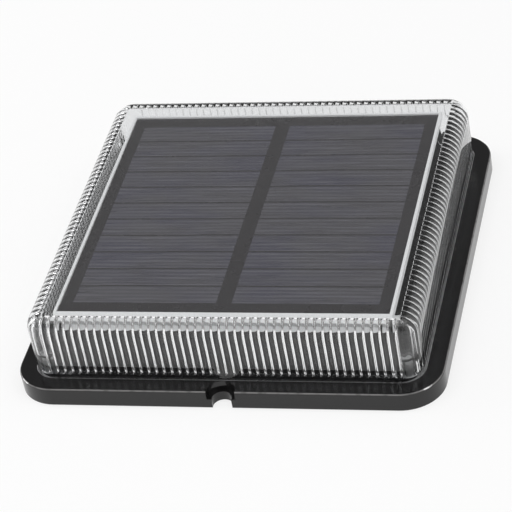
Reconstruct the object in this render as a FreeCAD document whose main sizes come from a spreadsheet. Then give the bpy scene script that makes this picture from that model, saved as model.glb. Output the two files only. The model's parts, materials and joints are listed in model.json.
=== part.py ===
import FreeCAD, Part
import math
import os
import Sketcher
from FreeCAD import Placement, Rotation, Vector

# Solar fence light: a square lamp for the top of a fence post, a deck or a step.
# A black moulded base carries a clear ribbed cover, a white tray with the solar panel,
# eight small lamps that shine outwards through the ribs, a cell and a control board.
# Millimetres.  X to the right, Y to the back, Z up; the origin is the middle of the base
# on the surface that the lamp rests on.

SIZES = (
    # the black base
    ("base_width", 115.0, "base plate, side to side"),
    ("base_corner_radius", 11.0, "corners of the base plate"),
    ("base_height", 5.2, "top of the flange"),
    ("base_edge_radius", 0.5, "rounded top edge of the flange"),
    ("flange_thickness", 2.4, "plastic left over the core-outs"),
    ("skirt_wall", 2.4, "wall between the core-outs and the outside"),
    ("core_inner", 46.0, "inner side of the core-outs from the middle"),
    ("core_half_gap", 7.0, "solid left beside each notch"),
    ("core_end", 39.0, "end of the core-outs from the middle"),
    ("floor_thickness", 1.8, "floor of the compartment"),
    ("wall_half", 42.4, "outside of the compartment wall from the middle"),
    ("wall_thickness", 2.0, "compartment wall"),
    ("wall_top", 16.6, "top of the compartment wall"),
    # fixing notches in the front and back edges
    ("notch_radius", 2.7, "half-round notch for a fixing screw"),
    ("notch_depth", 3.25, "notch, in from the edge"),
    ("counterbore_radius", 3.9, "recess for the screw's head"),
    ("notch_floor", 2.7, "floor of that recess above the bottom"),
    # the clear cover
    ("lens_width", 105.0, "clear cover, side to side"),
    ("lens_corner_radius", 6.0, "upright corners of the cover"),
    ("overall_height", 23.5, "top of the cover"),
    ("lens_wall", 1.5, "cover wall and top sheet"),
    ("shoulder_radius", 5.0, "rounded edge round the top of the cover"),
    ("groove_depth", 1.4, "groove in the flange for the cover's foot"),
    ("groove_fit", 0.15, "play each side of the foot in its groove"),
    ("groove_edge_radius", 0.2, "rounded outer edge of the groove"),
    ("gasket_thickness", 0.6, "sealing ring under the foot"),
    # its ribs, on the inside
    ("rib_count", 45, "ribs on each side"),
    ("rib_pitch", 2.1, "from rib to rib"),
    ("rib_depth", 0.65, "height of a rib off the wall"),
    ("rib_foot", 1.1, "plain band between the flange and the ribs"),
    ("rib_climb", 1.6, "how far the ribs climb the inside of the shoulder"),
    # screws that hold the cover
    ("boss_offset", 48.2, "screw boss from the middle, both ways"),
    ("boss_radius", 2.4, "clear screw boss"),
    ("boss_top", 11.4, "top of a screw boss above the bottom"),
    ("boss_gap", 0.1, "boss above the flange"),
    ("boss_bore_spare", 1.0, "bore beyond the screw's tip"),
    ("screw_radius", 1.3, "housing screw"),
    ("screw_head_radius", 2.5, "head of a housing screw"),
    ("screw_head_height", 1.7, "head of a housing screw"),
    ("screw_head_seat", 2.4, "where the head seats, above the bottom"),
    ("screw_reach", 7.0, "housing screw under its head"),
    ("screw_play", 0.1, "room round a screw in its hole"),
    ("head_play", 0.4, "room round a head in its recess"),
    # the white tray
    ("tray_half", 45.45, "outside of the tray from the middle"),
    ("tray_rim", 0.8, "rim round the panel"),
    ("tray_top", 20.6, "top of the rim"),
    ("tray_lip_bottom", 18.8, "lower edge of the rim's upright outer face"),
    ("tray_skirt_inset", 1.9, "skirt set back under the rim"),
    ("tray_skirt_wall", 1.05, "skirt round the top of the compartment wall"),
    ("tray_skirt_bottom", 13.8, "lower edge of the tray's skirt"),
    ("tray_plate", 1.4, "plate that carries the panel"),
    ("tray_screw_offset", 35.0, "tray screws from the middle, both ways"),
    ("tray_screw_radius", 1.0, "tray screw"),
    ("tray_head_radius", 2.0, "countersunk head of a tray screw"),
    ("tray_head_depth", 1.0, "countersunk head of a tray screw"),
    ("tray_screw_length", 8.0, "tray screw, overall"),
    ("post_radius", 3.0, "posts under the tray"),
    ("lead_hole_radius", 1.8, "hole in the tray for a panel lead"),
    ("lead_hole_x", 6.0, "panel lead holes from the middle"),
    ("lead_hole_y", -4.0, "panel lead holes, front to back"),
    # the solar panel
    ("tape_thickness", 0.5, "foam tape under the panel"),
    ("tape_half", 43.0, "outside of the tape from the middle"),
    ("tape_width", 9.0, "width of the tape"),
    ("tape_play", 0.2, "room round the tape in its recess"),
    ("panel_width", 89.2, "panel, side to side"),
    ("panel_thickness", 1.6, "panel board"),
    ("cell_rows", 11, "rows of solar cells"),
    ("cell_pitch", 7.37, "from row to row"),
    ("cell_gap", 0.55, "gap between rows"),
    ("cell_column_gap", 4.2, "gap between the two columns"),
    ("cell_length", 39.1, "a cell, side to side"),
    ("cell_inlay", 0.25, "thickness of a cell, let into the board"),
    # light-emitting diodes and their boards
    ("lamp_x", 20.0, "each lamp from the middle of its side"),
    ("lamp_z", 11.8, "middle of a lamp above the bottom"),
    ("lamp_width", 3.5, "lamp package"),
    ("lamp_height", 2.8, "lamp package"),
    ("lamp_depth", 0.7, "lamp package"),
    ("lamp_window_play", 0.25, "room round a lamp in its window"),
    ("well_width", 10.0, "pilaster behind each window"),
    ("well_depth", 1.9, "pilaster behind each window"),
    ("lamp_board_length", 56.0, "board of one side's lamps"),
    ("lamp_board_height", 6.6, "board of one side's lamps"),
    ("lamp_board_thickness", 1.0, "board of one side's lamps"),
    ("lamp_board_lift", 9.6, "lower edge of a lamp board"),
    # the cell
    ("battery_radius", 7.1, "rechargeable cell"),
    ("battery_length", 50.0, "rechargeable cell, with its button end"),
    ("battery_nub_radius", 2.7, "button end"),
    ("battery_nub_height", 1.2, "button end"),
    ("battery_y", 14.0, "axis of the cell, front to back"),
    ("battery_lift", 2.0, "underside of the cell above the bottom"),
    ("cradle_x", 15.0, "cradles from the middle"),
    ("cradle_width", 3.0, "a cradle along the cell"),
    ("cradle_half", 8.0, "a cradle, half its length across the cell"),
    ("cradle_top", 6.0, "top of a cradle"),
    ("cradle_play", 0.1, "room round the cell in its cradle"),
    ("contact_thickness", 0.4, "contact strip"),
    ("contact_width", 8.0, "contact strip"),
    ("contact_top", 13.5, "top of the contacts"),
    ("leaf_bow", 2.2, "spring contact, how far it bows"),
    ("stop_thickness", 2.4, "stop behind each contact"),
    ("stop_top", 12.0, "top of those stops"),
    # control board
    ("board_y", -16.0, "middle of the control board"),
    ("board_length", 50.0, "control board"),
    ("board_width", 30.0, "control board"),
    ("board_thickness", 1.6, "control board"),
    ("board_lift", 9.0, "underside of the control board"),
    ("board_hole_x", 21.5, "board screws from the middle"),
    ("board_hole_y", 11.5, "board screws from the middle of the board"),
    ("board_screw_radius", 1.0, "board screw"),
    ("board_head_radius", 1.9, "head of a board screw"),
    ("board_head_height", 1.2, "head of a board screw"),
    ("board_screw_length", 6.0, "board screw under its head"),
    ("standoff_radius", 2.6, "pillar under the control board"),
    ("chip_length", 5.0, "controller chip"),
    ("chip_width", 4.0, "controller chip"),
    ("chip_height", 1.5, "controller chip"),
    ("coil_radius", 3.2, "inductor"),
    ("coil_height", 4.6, "inductor"),
    ("capacitor_radius", 2.5, "capacitor"),
    ("capacitor_height", 5.2, "capacitor"),
    # the push switch, worked from underneath
    ("switch_x", 14.0, "switch from the middle"),
    ("switch_y", -10.0, "switch, front to back"),
    ("switch_width", 8.0, "switch body"),
    ("switch_height", 4.1, "switch body"),
    ("button_radius", 4.2, "push button"),
    ("button_play", 0.25, "room round the button"),
    ("button_recess", 0.6, "button face above the surface below"),
    ("button_flange", 1.2, "flange that keeps the button in"),
    ("button_flange_height", 0.8, "thickness of that flange"),
    ("button_stem_radius", 1.5, "stem into the switch"),
    ("button_travel", 1.0, "how far the button moves"),
    ("button_seal_thickness", 0.6, "seal under the flange"),
    ("stem_engagement", 0.7, "stem inside the switch at rest"),
    ("stem_play", 0.1, "room round the stem"),
    # leads
    ("lead_radius", 0.6, "insulated lead"),
    ("lead_bend", 2.0, "inside bends of a lead"),
    ("lead_sweep", 8.0, "how far a lead from the cell runs forward before its bend"),
    ("solder_gap", 0.02, "between a lead's end and its pad"),
)

doc = FreeCAD.newDocument("fence_light")
sheet = doc.addObject("Spreadsheet::Sheet", "sizes")
for row, (alias, number, note) in enumerate(SIZES, 1):
    sheet.set("A%d" % row, note)
    sheet.set("B%d" % row, str(number))
    sheet.setAlias("B%d" % row, alias)
doc.recompute()


class Size:
    # a length that carries both its number and its spreadsheet expression

    def __init__(self, value, text):
        self.value = value
        self.text = text

    def joined(self, other, sign, value):
        return Size(value, "(%s %s %s)" % (self.text, sign, other.text))

    def __add__(self, other):
        other = asSize(other)
        return self.joined(other, "+", self.value + other.value)

    def __sub__(self, other):
        other = asSize(other)
        return self.joined(other, "-", self.value - other.value)

    def __mul__(self, other):
        other = asSize(other)
        return self.joined(other, "*", self.value * other.value)

    def __truediv__(self, other):
        other = asSize(other)
        return self.joined(other, "/", self.value / other.value)

    def __rmul__(self, other):
        return asSize(other) * self

    def __rsub__(self, other):
        return asSize(other) - self

    def __neg__(self):
        return asSize(-1) * self


def asSize(number):
    if isinstance(number, Size):
        return number
    return Size(float(number), repr(float(number)))


class Dimensions:
    # the spreadsheet's cells as named sizes

    def __getattr__(self, alias):
        return Size(float(sheet.get(alias)), "sizes." + alias)


d = Dimensions()
ZERO = asSize(0)

# sizes that several pieces share
base_half = d.base_width / 2
lens_half = d.lens_width / 2
lens_inside = lens_half - d.lens_wall
sheet_underside = d.overall_height - d.lens_wall
groove_floor = d.base_height - d.groove_depth
lens_foot = groove_floor + d.gasket_thickness
cavity_half = d.wall_half - d.wall_thickness
well_face = cavity_half - d.well_depth
plate_top = d.wall_top + d.tray_plate
panel_bottom = plate_top + d.tape_thickness
panel_top = panel_bottom + d.panel_thickness
battery_z = d.battery_lift + d.battery_radius
board_top = d.board_lift + d.board_thickness
notch_centre = base_half - d.notch_depth + d.notch_radius
switch_bottom = d.board_lift - d.switch_height
seal_top = d.floor_thickness + d.button_seal_thickness


# ---------------------------------------------------------------- sketching and features

def bind(thing, name, size):
    thing.setExpression(name, asSize(size).text)


def newBody(label):
    body = doc.addObject("PartDesign::Body", label)
    body.Label = label
    return body


def originOf(body, role):
    return [item for item in body.Origin.OriginFeatures if item.Role == role][0]


def newSketch(body, name, role, offset=0):
    sketch = body.newObject("Sketcher::SketchObject", body.Label + "_" + name)
    sketch.AttachmentSupport = [(originOf(body, role), "")]
    sketch.MapMode = "FlatFace"
    bind(sketch, "AttachmentOffset.Base.z", offset)
    return sketch


def fixPoint(sketch, geometry, point, x, y):
    # hold a point at x, y from the sketch's origin
    for kind, size in (("DistanceX", asSize(x)), ("DistanceY", asSize(y))):
        rule = Sketcher.Constraint(kind, -1, 1, geometry, point, size.value)
        index = sketch.addConstraint(rule)
        bind(sketch, "Constraints[%d]" % index, size)


def drawPolygon(sketch, points):
    points = [(asSize(x), asSize(y)) for x, y in points]
    spots = [Vector(x.value, y.value, 0) for x, y in points]
    first = sketch.GeometryCount
    count = len(points)
    sketch.addGeometry([Part.LineSegment(spots[i], spots[(i + 1) % count]) for i in range(count)])
    for i in range(count):
        sketch.addConstraint(Sketcher.Constraint("Coincident", first + i, 2, first + (i + 1) % count, 1))
        fixPoint(sketch, first + i, 1, *points[i])


def drawRectangle(sketch, x0, x1, y0, y1):
    drawPolygon(sketch, ((x0, y0), (x1, y0), (x1, y1), (x0, y1)))


def drawSquare(sketch, half):
    drawRectangle(sketch, -half, half, -half, half)


def drawCircle(sketch, x, y, radius):
    x, y, radius = asSize(x), asSize(y), asSize(radius)
    circle = Part.Circle(Vector(x.value, y.value, 0), Vector(0, 0, 1), radius.value)
    index = sketch.addGeometry(circle)
    fixPoint(sketch, index, 3, x, y)
    rule = sketch.addConstraint(Sketcher.Constraint("Radius", index, radius.value))
    bind(sketch, "Constraints[%d]" % rule, radius)


def drawRoundedSquare(sketch, half, radius):
    # four sides and four corner arcs, anticlockwise from the front side
    reach = half.value
    inset = reach - radius.value
    first = sketch.GeometryCount
    pieces = []
    for quarter in range(4):
        turn = Rotation(Vector(0, 0, 1), 90 * quarter)
        start = turn.multVec(Vector(-inset, -reach, 0))
        end = turn.multVec(Vector(inset, -reach, 0))
        centre = turn.multVec(Vector(inset, -inset, 0))
        angle = math.radians(90 * quarter - 90)
        pieces.append(Part.LineSegment(start, end))
        corner = Part.Circle(centre, Vector(0, 0, 1), radius.value)
        pieces.append(Part.ArcOfCircle(corner, angle, angle + math.pi / 2))
    sketch.addGeometry(pieces)
    for i in range(8):
        sketch.addConstraint(Sketcher.Constraint("Tangent", first + i, 2, first + (i + 1) % 8, 1))
    for quarter in range(4):
        side = first + 2 * quarter
        upright = quarter % 2 == 1
        sign = -1 if quarter in (0, 3) else 1
        sketch.addConstraint(Sketcher.Constraint("Vertical" if upright else "Horizontal", side))
        kind = "DistanceX" if upright else "DistanceY"
        rule = sketch.addConstraint(Sketcher.Constraint(kind, -1, 1, side, 1, sign * reach))
        bind(sketch, "Constraints[%d]" % rule, sign * half)
        rule = sketch.addConstraint(Sketcher.Constraint("Radius", side + 1, radius.value))
        bind(sketch, "Constraints[%d]" % rule, radius)


def feature(body, kind, name):
    return body.newObject("PartDesign::" + kind, body.Label + "_" + name)


def volumeOf(body):
    doc.recompute()
    return body.Shape.Volume if body.Tip else 0.0


def padded(body, name, profile, length, reverse=False, both=False):
    before = volumeOf(body)
    pad = feature(body, "Pad", name)
    pad.Profile = profile
    pad.Reversed = reverse
    pad.Midplane = both
    bind(pad, "Length", length)
    if volumeOf(body) <= before:
        raise RuntimeError("the pad %s adds nothing" % pad.Name)
    return pad


def pocketed(body, name, profile, length, reverse=False, both=False):
    # a pocket cuts against its sketch's normal, or along it when reversed
    before = volumeOf(body)
    pocket = feature(body, "Pocket", name)
    pocket.Profile = profile
    pocket.Reversed = reverse
    pocket.Midplane = both
    bind(pocket, "Length", length)
    if volumeOf(body) >= before:
        raise RuntimeError("the pocket %s cuts nothing" % pocket.Name)
    return pocket


def revolved(body, name, profile, axis_role="Z_Axis"):
    turn = feature(body, "Revolution", name)
    turn.Profile = profile
    turn.ReferenceAxis = (originOf(body, axis_role), [""])
    turn.Angle = 360
    doc.recompute()
    return turn


def around(body, name, originals, count):
    # the same features repeated round the upright axis
    before = volumeOf(body)
    pattern = feature(body, "PolarPattern", name)
    pattern.Originals = originals
    pattern.Axis = (originOf(body, "Z_Axis"), [""])
    pattern.Angle = 360
    pattern.Occurrences = count
    pattern.Refine = False
    body.Tip = pattern
    if abs(volumeOf(body) - before) < 1e-6:
        raise RuntimeError("the pattern %s changes nothing" % pattern.Name)
    return pattern


def edgesWhere(source, test):
    edges = source.Shape.Edges
    return ["Edge%d" % (i + 1) for i, edge in enumerate(edges) if test(edge)]


def farthest(edge):
    # the greatest distance of an edge from the middle, along X or Y
    box = edge.BoundBox
    return max(abs(box.XMin), abs(box.XMax), abs(box.YMin), abs(box.YMax))


def atHeight(z, half=None):
    # edges that lie flat at a height, and reach farther from the middle than half
    def test(edge):
        box = edge.BoundBox
        flat = abs(box.ZMin - z) < 1e-4 and abs(box.ZMax - z) < 1e-4
        return flat and (half is None or farthest(edge) > half)
    return test


def dressed(body, kind, name, source, edges, size):
    # a fillet or a chamfer
    trim = feature(body, kind, name)
    trim.Base = (source, edges)
    bind(trim, "Radius" if kind == "Fillet" else "Size", size)
    doc.recompute()
    return trim


def place(item, x=0, y=0, z=0):
    bind(item, "Placement.Base.x", x)
    bind(item, "Placement.Base.y", y)
    bind(item, "Placement.Base.z", z)


def block(label, length, width, height, x, y, z):
    # a box centred on x, y with its underside at z
    box = doc.addObject("Part::Box", label)
    box.Label = label
    bind(box, "Length", length)
    bind(box, "Width", width)
    bind(box, "Height", height)
    place(box, x - length / 2, y - width / 2, z)
    return box


def drum(label, radius, height, x, y, z):
    cylinder = doc.addObject("Part::Cylinder", label)
    cylinder.Label = label
    bind(cylinder, "Radius", radius)
    bind(cylinder, "Height", height)
    place(cylinder, x, y, z)
    return cylinder


def group(label, shapes):
    # equal pieces that share one name
    item = doc.addObject("Part::Feature", label)
    item.Label = label
    item.Shape = Part.makeCompound(shapes)
    item.Placement = Placement()
    return item


# ---------------------------------------------------------------- the black base

def baseHousing():
    body = newBody("base_housing")
    outline = newSketch(body, "outline", "XY_Plane")
    drawRoundedSquare(outline, base_half, d.base_corner_radius)
    plate = padded(body, "plate", outline, d.base_height)
    rim = edgesWhere(plate, atHeight(d.base_height.value))
    dressed(body, "Fillet", "edge", plate, rim, d.base_edge_radius)

    tower = newSketch(body, "tower_outline", "XY_Plane", d.base_height)
    drawSquare(tower, d.wall_half)
    padded(body, "tower", tower, d.wall_top - d.base_height)
    inside = newSketch(body, "compartment_outline", "XY_Plane", d.wall_top)
    drawSquare(inside, cavity_half)
    pocketed(body, "compartment", inside, d.wall_top - d.floor_thickness)

    groove = newSketch(body, "groove_outline", "XY_Plane", d.base_height)
    drawRoundedSquare(groove, lens_half + d.groove_fit, d.lens_corner_radius + d.groove_fit)
    inner_radius = d.lens_corner_radius - d.lens_wall - d.groove_fit
    drawRoundedSquare(groove, lens_inside - d.groove_fit, inner_radius)
    cut = pocketed(body, "groove", groove, d.groove_depth)
    outer = (lens_half + d.groove_fit).value
    flat = atHeight(d.base_height.value, outer - d.groove_fit.value)
    lip = edgesWhere(cut, lambda edge: flat(edge) and farthest(edge) < outer + 0.001)
    dressed(body, "Fillet", "groove_edge", cut, lip, d.groove_edge_radius)

    cores = newSketch(body, "core_outline", "XY_Plane")
    core_outer = base_half - d.skirt_wall
    drawRectangle(cores, d.core_half_gap, d.core_end, -core_outer, -d.core_inner)
    drawRectangle(cores, -d.core_end, -d.core_half_gap, -core_outer, -d.core_inner)
    core = pocketed(body, "core", cores, d.base_height - d.flange_thickness, reverse=True)
    around(body, "cores", [core], 4)

    notch_outline = newSketch(body, "notch_outline", "XY_Plane")
    drawCircle(notch_outline, 0, -notch_centre, d.notch_radius)
    notch = pocketed(body, "notch", notch_outline, d.base_height, reverse=True)
    recess_outline = newSketch(body, "recess_outline", "XY_Plane", d.base_height)
    drawCircle(recess_outline, 0, -notch_centre, d.counterbore_radius)
    recess = pocketed(body, "recess", recess_outline, d.base_height - d.notch_floor)
    around(body, "notches", [notch, recess], 2)

    hole_outline = newSketch(body, "screw_hole_outline", "XY_Plane")
    drawCircle(hole_outline, d.boss_offset, d.boss_offset, d.screw_radius + d.screw_play)
    hole = pocketed(body, "screw_hole", hole_outline, d.base_height, reverse=True)
    head_outline = newSketch(body, "head_outline", "XY_Plane")
    drawCircle(head_outline, d.boss_offset, d.boss_offset, d.screw_head_radius + d.head_play)
    head = pocketed(body, "head_recess", head_outline, d.screw_head_seat, reverse=True)
    around(body, "screw_holes", [hole, head], 4)

    standing = newSketch(body, "pillar_outline", "XY_Plane", d.floor_thickness)
    drawCircle(standing, d.tray_screw_offset, d.tray_screw_offset, d.post_radius)
    for side in (-1, 1):
        middle = side * d.lamp_x
        half = d.well_width / 2
        drawRectangle(standing, middle - half, middle + half, -cavity_half, -well_face)
    pillars = padded(body, "pillar", standing, d.wall_top - d.floor_thickness)
    post_hole = newSketch(body, "post_hole_outline", "XY_Plane", d.wall_top)
    drawCircle(post_hole, d.tray_screw_offset, d.tray_screw_offset, d.tray_screw_radius + d.screw_play)
    post_bore = pocketed(body, "post_bore", post_hole, d.tray_screw_length)
    window_outline = newSketch(body, "window_outline", "XZ_Plane", d.wall_half)
    for side in (-1, 1):
        half = d.lamp_width / 2 + d.lamp_window_play
        rise = d.lamp_height / 2 + d.lamp_window_play
        middle = side * d.lamp_x
        drawRectangle(window_outline, middle - half, middle + half, d.lamp_z - rise, d.lamp_z + rise)
    window = pocketed(body, "window", window_outline, d.wall_thickness + d.well_depth)
    around(body, "sides", [pillars, post_bore, window], 4)

    standoffs = newSketch(body, "standoff_outline", "XY_Plane", d.floor_thickness)
    bores = newSketch(body, "standoff_bore_outline", "XY_Plane", d.board_lift)
    for x in (-d.board_hole_x, d.board_hole_x):
        for y in (d.board_y - d.board_hole_y, d.board_y + d.board_hole_y):
            drawCircle(standoffs, x, y, d.standoff_radius)
            drawCircle(bores, x, y, d.board_screw_radius + d.screw_play)
    padded(body, "standoffs", standoffs, d.board_lift - d.floor_thickness)
    pocketed(body, "standoff_bores", bores, d.board_screw_length)

    cradles = newSketch(body, "cradle_outline", "XY_Plane", d.floor_thickness)
    for side in (-1, 1):
        middle = side * d.cradle_x
        half = d.cradle_width / 2
        drawRectangle(cradles, middle - half, middle + half,
                      d.battery_y - d.cradle_half, d.battery_y + d.cradle_half)
    padded(body, "cradles", cradles, d.cradle_top - d.floor_thickness)
    seat = newSketch(body, "cell_seat_outline", "YZ_Plane")
    drawCircle(seat, d.battery_y, battery_z, d.battery_radius + d.cradle_play)
    pocketed(body, "cell_seat", seat, 2 * d.cradle_x + 2 * d.cradle_width, both=True)

    stops = newSketch(body, "stop_outline", "XY_Plane", d.floor_thickness)
    plus_back, minus_back = contactBacks()
    half = d.contact_width / 2
    y0, y1 = d.battery_y - half, d.battery_y + half
    drawRectangle(stops, plus_back, plus_back + d.stop_thickness, y0, y1)
    drawRectangle(stops, minus_back - d.stop_thickness, minus_back, y0, y1)
    padded(body, "stops", stops, d.stop_top - d.floor_thickness)

    well = newSketch(body, "button_hole_outline", "XY_Plane")
    drawCircle(well, d.switch_x, d.switch_y, d.button_radius + d.button_play)
    pocketed(body, "button_hole", well, d.floor_thickness, reverse=True)
    return body


def contactBacks():
    # where the two contacts lean on their stops
    play = d.solder_gap
    plus = d.battery_length / 2 + play + d.contact_thickness
    minus = -(d.battery_length / 2 + play + d.leaf_bow + d.contact_thickness)
    return plus, minus


def baseGasket():
    body = newBody("base_gasket")
    ring = newSketch(body, "outline", "XY_Plane", groove_floor)
    drawRoundedSquare(ring, lens_half, d.lens_corner_radius)
    drawRoundedSquare(ring, lens_inside, d.lens_corner_radius - d.lens_wall)
    padded(body, "ring", ring, d.gasket_thickness)
    return body


# ---------------------------------------------------------------- the clear ribbed cover

def lensCover():
    body = newBody("lens_cover")
    outline = newSketch(body, "outline", "XY_Plane", lens_foot)
    drawRoundedSquare(outline, lens_half, d.lens_corner_radius)
    block_pad = padded(body, "block", outline, d.overall_height - lens_foot)
    top = edgesWhere(block_pad, atHeight(d.overall_height.value))
    dressed(body, "Fillet", "shoulder", block_pad, top, d.shoulder_radius)

    hollow = newSketch(body, "hollow_outline", "XY_Plane", lens_foot)
    drawRoundedSquare(hollow, lens_inside, d.lens_corner_radius - d.lens_wall)
    cavity = pocketed(body, "hollow", hollow, sheet_underside - lens_foot, reverse=True)
    # a flat at 45 degrees keeps the wall even behind the rounded shoulder
    flat = (d.shoulder_radius - d.lens_wall) * (2 - math.sqrt(2))
    ceiling = edgesWhere(cavity, atHeight(sheet_underside.value))
    dressed(body, "Chamfer", "inner_shoulder", cavity, ceiling, flat)

    boss_foot = d.base_height + d.boss_gap
    bosses = newSketch(body, "boss_outline", "XY_Plane", boss_foot)
    drawCircle(bosses, d.boss_offset, d.boss_offset, d.boss_radius)
    boss = padded(body, "boss", bosses, d.boss_top - boss_foot)
    bores = newSketch(body, "boss_bore_outline", "XY_Plane", boss_foot)
    drawCircle(bores, d.boss_offset, d.boss_offset, d.screw_radius + d.screw_play)
    depth = d.screw_head_seat + d.screw_reach + d.boss_bore_spare - boss_foot
    bore = pocketed(body, "boss_bore", bores, depth, reverse=True)
    around(body, "bosses", [boss, bore], 4)

    # one rib: a triangle drawn up the wall and most of the way up the shoulder
    rib_start = d.base_height + d.rib_foot
    route = newSketch(body, "rib_route", "YZ_Plane")
    bend = sheet_underside - flat
    points = [(-lens_inside, rib_start), (-lens_inside, bend),
              (d.rib_climb - lens_inside, bend + d.rib_climb)]
    spots = [Vector(y.value, z.value, 0) for y, z in points]
    route.addGeometry([Part.LineSegment(a, b) for a, b in zip(spots, spots[1:])])
    for i, (y, z) in enumerate(points[:-1]):
        fixPoint(route, i, 1, y, z)
        if i:
            route.addConstraint(Sketcher.Constraint("Coincident", i - 1, 2, i, 1))
    fixPoint(route, 1, 2, *points[-1])
    section = newSketch(body, "rib_section", "XY_Plane", rib_start)
    first = -(d.rib_count - 1) * d.rib_pitch / 2
    half = d.rib_pitch / 2
    drawPolygon(section, ((first - half, -lens_inside), (first + half, -lens_inside),
                          (first, d.rib_depth - lens_inside)))
    doc.recompute()
    rib = feature(body, "AdditivePipe", "rib")
    rib.Profile = section
    rib.Spine = route
    rib.Transition = "Right corner"
    doc.recompute()
    ribs = feature(body, "MultiTransform", "ribs")
    ribs.Originals = [rib]
    along = feature(body, "LinearPattern", "along")
    along.Direction = (originOf(body, "X_Axis"), [""])
    bind(along, "Length", (d.rib_count - 1) * d.rib_pitch)
    bind(along, "Occurrences", d.rib_count)
    sides = feature(body, "PolarPattern", "round")
    sides.Axis = (originOf(body, "Z_Axis"), [""])
    sides.Angle = 360
    sides.Occurrences = 4
    ribs.Transformations = [along, sides]
    ribs.Refine = False
    body.Tip = ribs
    doc.recompute()
    return body


# ---------------------------------------------------------------- the tray and the panel

def panelTray():
    body = newBody("panel_tray")
    # the rim's outer face runs back to the skirt at 45 degrees
    skirt_half = d.tray_half - d.tray_skirt_inset
    skirt_top = d.tray_lip_bottom - d.tray_skirt_inset
    outline = newSketch(body, "outline", "XY_Plane", skirt_top)
    drawSquare(outline, d.tray_half)
    plate = padded(body, "block", outline, d.tray_top - skirt_top)
    lower = edgesWhere(plate, atHeight(skirt_top.value))
    dressed(body, "Chamfer", "lip", plate, lower, d.tray_skirt_inset)
    skirt = newSketch(body, "skirt_outline", "XY_Plane", d.tray_skirt_bottom)
    drawSquare(skirt, skirt_half)
    padded(body, "skirt", skirt, skirt_top - d.tray_skirt_bottom)
    below = newSketch(body, "skirt_inside", "XY_Plane", d.tray_skirt_bottom)
    drawSquare(below, skirt_half - d.tray_skirt_wall)
    pocketed(body, "skirt_hollow", below, d.wall_top - d.tray_skirt_bottom, reverse=True)

    # the panel lies on a ledge, with its tape in a shallower square within
    above = newSketch(body, "recess_outline", "XY_Plane", d.tray_top)
    drawSquare(above, d.tray_half - d.tray_rim)
    pocketed(body, "recess", above, d.tray_top - panel_bottom)
    tape = newSketch(body, "tape_recess_outline", "XY_Plane", panel_bottom)
    drawSquare(tape, d.tape_half + d.tape_play)
    pocketed(body, "tape_recess", tape, panel_bottom - plate_top)

    leads = newSketch(body, "lead_hole_outline", "XY_Plane", plate_top)
    for x in (-d.lead_hole_x, d.lead_hole_x):
        drawCircle(leads, x, d.lead_hole_y, d.lead_hole_radius)
    pocketed(body, "lead_holes", leads, d.tray_plate)
    screws = newSketch(body, "screw_hole_outline", "XY_Plane", plate_top)
    drawCircle(screws, d.tray_screw_offset, d.tray_screw_offset, d.tray_screw_radius + d.screw_play)
    hole = pocketed(body, "screw_hole", screws, d.tray_plate)
    # the countersink is cut by a cone turned about the hole's axis
    cone = newSketch(body, "countersink_section", "XZ_Plane", -d.tray_screw_offset)
    x = d.tray_screw_offset
    narrow = d.tray_screw_radius + d.screw_play
    wide = d.tray_head_radius + d.screw_play
    drawPolygon(cone, ((x, plate_top - d.tray_head_depth), (x + narrow, plate_top - d.tray_head_depth),
                       (x + wide, plate_top), (x, plate_top)))
    axis = cone.addGeometry(Part.LineSegment(Vector(x.value, 0, 0), Vector(x.value, 1, 0)), True)
    fixPoint(cone, axis, 1, x, ZERO)
    fixPoint(cone, axis, 2, x, asSize(1))
    drilled = volumeOf(body)
    sink = feature(body, "Groove", "countersink")
    sink.Profile = cone
    sink.ReferenceAxis = (cone, ["Axis0"])
    sink.Angle = 360
    if volumeOf(body) >= drilled:
        raise RuntimeError("the tray's countersink cuts nothing")
    around(body, "screw_holes", [hole, sink], 4)
    return body


def panelTape():
    body = newBody("panel_tape")
    ring = newSketch(body, "outline", "XY_Plane", plate_top)
    drawSquare(ring, d.tape_half)
    drawSquare(ring, d.tape_half - d.tape_width)
    padded(body, "ring", ring, d.tape_thickness)
    return body


def cellPlaces():
    # front left corner of each cell
    rows = int(round(d.cell_rows.value))
    for row in range(rows):
        front = (row - (rows - 1) / 2) * d.cell_pitch.value - (d.cell_pitch.value - d.cell_gap.value) / 2
        yield Vector(-d.cell_column_gap.value / 2 - d.cell_length.value, front, 0)
        yield Vector(d.cell_column_gap.value / 2, front, 0)


def cellShapes():
    size = (d.cell_length.value, d.cell_pitch.value - d.cell_gap.value, d.cell_inlay.value)
    lift = Vector(0, 0, panel_top.value - d.cell_inlay.value)
    return [Part.makeBox(*size, spot + lift) for spot in cellPlaces()]


def solarCells():
    return group("solar_cells", cellShapes())


def panelBoard(cells):
    blank = block("panel_blank", d.panel_width, d.panel_width, d.panel_thickness, ZERO, ZERO, panel_bottom)
    board = doc.addObject("Part::Cut", "panel_board")
    board.Label = "panel_board"
    board.Base = blank
    board.Tool = cells
    return board


# ---------------------------------------------------------------- lamps

SIDES = (("front", 0), ("right", 90), ("back", 180), ("left", 270))


def turned(shape, angle):
    copy = shape.copy()
    copy.rotate(Vector(0, 0, 0), Vector(0, 0, 1), angle)
    return copy


def lampShape(x):
    # a white package with a shallow round window for its phosphor
    face = -(well_face + d.lamp_depth).value
    corner = Vector(x - d.lamp_width.value / 2, face, (d.lamp_z - d.lamp_height / 2).value)
    package = Part.makeBox(d.lamp_width.value, d.lamp_depth.value, d.lamp_height.value, corner)
    pit_radius = d.lamp_height.value * 0.4
    pit_depth = d.lamp_depth.value * 0.3
    pit = Part.makeCylinder(pit_radius, pit_depth, Vector(x, face, d.lamp_z.value), Vector(0, 1, 0))
    return package.cut(pit)


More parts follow.
